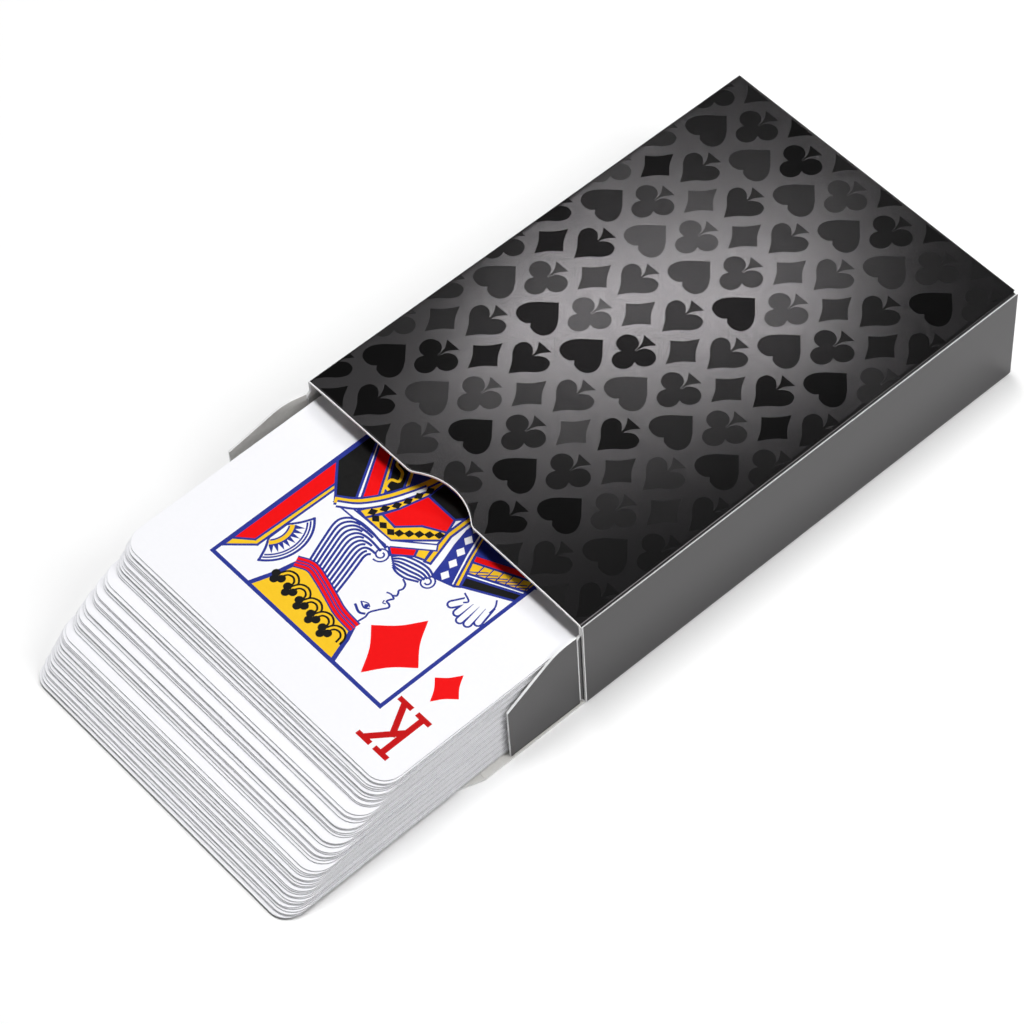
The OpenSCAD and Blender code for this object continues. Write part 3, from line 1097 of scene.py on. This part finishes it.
table_skin.inputs["Emission Color"].default_value = (1, 1, 1, 1)
light_path = table_nodes.new("ShaderNodeLightPath")
seen = light_path.outputs["Is Camera Ray"]
for kind in ("Is Glossy Ray", "Is Transmission Ray"):
    either = table_nodes.new("ShaderNodeMath")
    either.operation = "MAXIMUM"
    table_links.new(seen, either.inputs[0])
    table_links.new(light_path.outputs[kind], either.inputs[1])
    seen = either.outputs["Value"]
table_spot = table_nodes.new("ShaderNodeTexCoord")
spot_reach = table_nodes.new("ShaderNodeVectorMath")
spot_reach.operation = "LENGTH"
table_links.new(table_spot.outputs["Object"], spot_reach.inputs[0])
fade = table_nodes.new("ShaderNodeMapRange")
fade.inputs["From Min"].default_value = lamp_reach[0]
fade.inputs["From Max"].default_value = lamp_reach[1]
fade.inputs["To Min"].default_value = near_glow
fade.inputs["To Max"].default_value = far_glow
table_links.new(spot_reach.outputs["Value"], fade.inputs["Value"])
glow = table_nodes.new("ShaderNodeMath")
glow.operation = "MULTIPLY"
table_links.new(seen, glow.inputs[0])
table_links.new(fade.outputs["Result"], glow.inputs[1])
table_links.new(glow.outputs["Value"], table_skin.inputs["Emission Strength"])
table_mesh.materials.append(table_finish)

# Two soft boxes side by side light the deck from above, and a weaker one lights its right side. Behind it
# on the left, a narrow box leaves a sheen on the front panel and a broad dim one lifts its film.
camera_target = Vector((-0.00292, -0.03143, 0))
sheen_turn = math.radians(48.3)
sheen_rise = math.radians(50.9)
sheen_reach = 0.667
sheen_spot = Vector((-0.005, 0.004, box_h * MM))
sheen_place = sheen_spot + sheen_reach * Vector((
    -math.sin(sheen_turn) * math.cos(sheen_rise),
    math.cos(sheen_turn) * math.cos(sheen_rise),
    math.sin(sheen_rise),
))
film_place = sheen_place + Vector((-0.09, -0.05, 0))
left_place = camera_target + Vector((-0.15, 0.06, 1.2))
right_place = camera_target + Vector((0.25, 0.06, 1.2))
side_place = camera_target + Vector((0.42, 0.24, 0.55))
room_glow = 0.06


def soft_box(name, place, aim, wide, high, power):
    """An oblong soft light at a place, aimed at a point, all in metres."""
    lamp = bpy.data.lights.new(name, "AREA")
    lamp.shape = "RECTANGLE"
    lamp.size = wide
    lamp.size_y = high
    lamp.energy = power
    light = bpy.data.objects.new(name, lamp)
    bpy.context.scene.collection.objects.link(light)
    light.location = place
    light.rotation_euler = (aim - place).to_track_quat("-Z", "Y").to_euler()


soft_box("sheen_light", sheen_place, sheen_spot, wide=0.118, high=0.015, power=0.205)
soft_box("film_light", film_place, sheen_spot, wide=0.2, high=0.2, power=0.08)
soft_box("left_light", left_place, camera_target, wide=0.16, high=0.4, power=7)
soft_box("right_light", right_place, camera_target, wide=0.2, high=0.4, power=4.2)
soft_box("side_light", side_place, camera_target, wide=0.3, high=0.3, power=1.7)
world = bpy.data.worlds.new("room")
world.use_nodes = True
world.node_tree.nodes["Background"].inputs["Color"].default_value = (1, 1, 1, 1)
world.node_tree.nodes["Background"].inputs["Strength"].default_value = room_glow
bpy.context.scene.world = world
bpy.context.scene.view_settings.view_transform = "Standard"

# The camera looks down on the deck from its front right, through a long lens and rolled a little.
# Its place and lens were fitted to the corners of the box in the photo.
camera_turn = math.radians(52.05)
camera_rise = math.radians(54.27)
camera_roll = math.radians(-4.39)
camera_reach = 0.6207
camera_lens = 134.12
sensor_w = 36
toward_camera = Vector((
    math.sin(camera_turn) * math.cos(camera_rise),
    -math.cos(camera_turn) * math.cos(camera_rise),
    math.sin(camera_rise),
))
camera_place = camera_target + toward_camera * camera_reach
lens = bpy.data.cameras.new("camera")
lens.lens = camera_lens
lens.sensor_width = sensor_w
camera = bpy.data.objects.new("camera", lens)
bpy.context.scene.collection.objects.link(camera)
side = (-toward_camera).cross(Vector((0, 0, 1))).normalized()
rise = side.cross(-toward_camera)
right = side * math.cos(camera_roll) + rise * math.sin(camera_roll)
up = rise * math.cos(camera_roll) - side * math.sin(camera_roll)
aim = Matrix((right, up, toward_camera)).transposed().to_4x4()
camera.matrix_world = Matrix.Translation(camera_place) @ aim
bpy.context.scene.camera = camera
